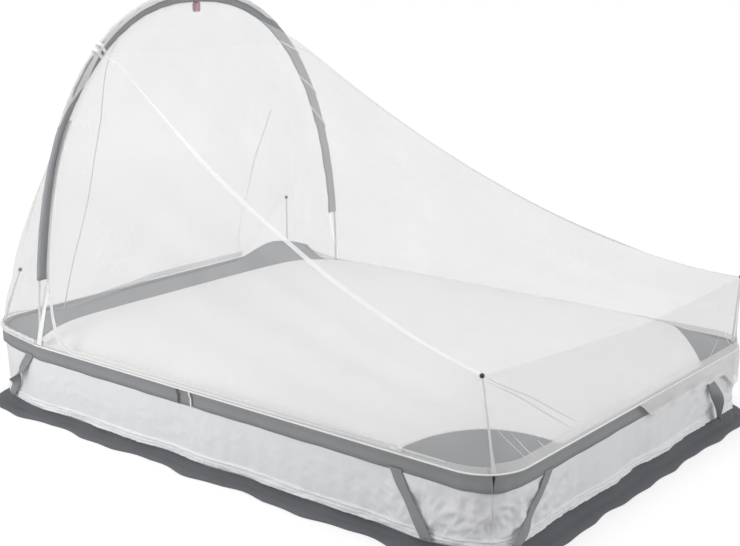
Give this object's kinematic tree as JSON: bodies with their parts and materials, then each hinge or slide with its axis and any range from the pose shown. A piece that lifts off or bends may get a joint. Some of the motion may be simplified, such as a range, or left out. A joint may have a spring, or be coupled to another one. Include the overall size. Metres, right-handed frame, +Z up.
{
  "type": "mosquito net tent",
  "caption": "Mosquito net tent for a double bed: sleeved base frame, arch near the head, short corner posts, net canopy with a zip door, skirts with a dark hem.",
  "frame": {"origin": "on the floor under the middle of the base frame", "axes": "+X to the foot end, -X to the head end with the arch, -Y to the near side with the door zip, +Z up"},
  "size_m": [2.1204, 1.5872, 1.3261],
  "materials": {
    "fibreglass": "smooth",
    "black_plastic": "moulded",
    "grey_band": "plain woven",
    "white_tape": "tape",
    "white_net": "fine mesh",
    "white_cloth": "thin cloth",
    "dark_hem": "plain woven",
    "white_plastic": "moulded",
    "red_tape": "tape"
  },
  "bodies": {
    "base": {"near_foot_rod": "fibreglass", "near_head_rod": "fibreglass", "far_foot_rod": "fibreglass", "far_head_rod": "fibreglass", "foot_rod": "fibreglass", "head_rod": "fibreglass", "near_foot_socket": "black_plastic", "far_foot_socket": "black_plastic", "far_head_socket": "black_plastic", "near_head_socket": "black_plastic", "near_foot_post": "black_plastic", "far_foot_post": "black_plastic", "far_head_post": "black_plastic", "near_head_post": "black_plastic", "near_arch_cup": "black_plastic", "far_arch_cup": "black_plastic", "near_sleeve": "grey_band", "far_sleeve": "grey_band", "foot_sleeve": "grey_band", "head_sleeve": "grey_band", "near_foot_gusset": "grey_band", "far_foot_gusset": "grey_band", "head_strip": "grey_band", "near_foot_strap_side": "grey_band", "near_foot_strap_end": "grey_band", "far_foot_strap_side": "grey_band", "far_foot_strap_end": "grey_band", "far_head_strap_side": "grey_band", "far_head_strap_end": "grey_band", "near_head_strap_side": "grey_band", "near_head_strap_end": "grey_band", "rail_piping": "white_tape", "near_ridge_tape": "white_tape", "far_ridge_tape": "white_tape", "door_zip_tape": "white_tape", "foot_roof_net": "white_net", "near_side_net": "white_net", "far_side_net": "white_net", "head_roof_net": "white_net", "near_head_net": "white_net", "far_head_net": "white_net", "foot_wall_net": "white_net", "base_sheet": "white_cloth", "near_skirt": "white_cloth", "far_skirt": "white_cloth", "foot_skirt": "white_cloth", "head_skirt": "white_cloth", "near_hem": "dark_hem", "far_hem": "dark_hem", "foot_hem": "dark_hem", "head_hem": "dark_hem"},
    "arch": {"near_arch_pole": "fibreglass", "crown_arch_pole": "fibreglass", "far_arch_pole": "fibreglass", "arch_sleeve": "grey_band", "near_shoulder_tie": "white_tape", "far_shoulder_tie": "white_tape"},
    "zip_slider": {"zip_slider": "white_plastic"},
    "zip_pull": {"zip_pull": "white_plastic"},
    "lantern_loop": {"lantern_loop": "red_tape"}
  },
  "joints": [
    {"name": "arch_lean", "type": "hinge", "parent": "base", "child": "arch", "pos_m": [-0.733, 0, 0.2386], "axis": [0, 1, 0], "range_deg": [-3, 3], "stiffness_Nm_per_rad": 30, "deforming": ["foot_roof_net", "near_side_net", "far_side_net", "head_roof_net", "near_head_net", "far_head_net", "near_ridge_tape", "far_ridge_tape", "door_zip_tape"]},
    {"name": "zip_slide", "type": "slide", "parent": "base", "child": "zip_slider", "axis": [1, 0, 0], "range_m": [-1.25, 0]},
    {"name": "zip_pull_swing", "type": "hinge", "parent": "zip_slider", "child": "zip_pull", "pos_m": [0.72, -0.7418, 0.2493], "axis": [0, 0, 1], "range_deg": [0, 180]},
    {"name": "lantern_loop_swing", "type": "hinge", "parent": "arch", "child": "lantern_loop", "pos_m": [-0.733, 0, 1.2771], "axis": [0, 1, 0], "range_deg": [-60, 60]}
  ]
}
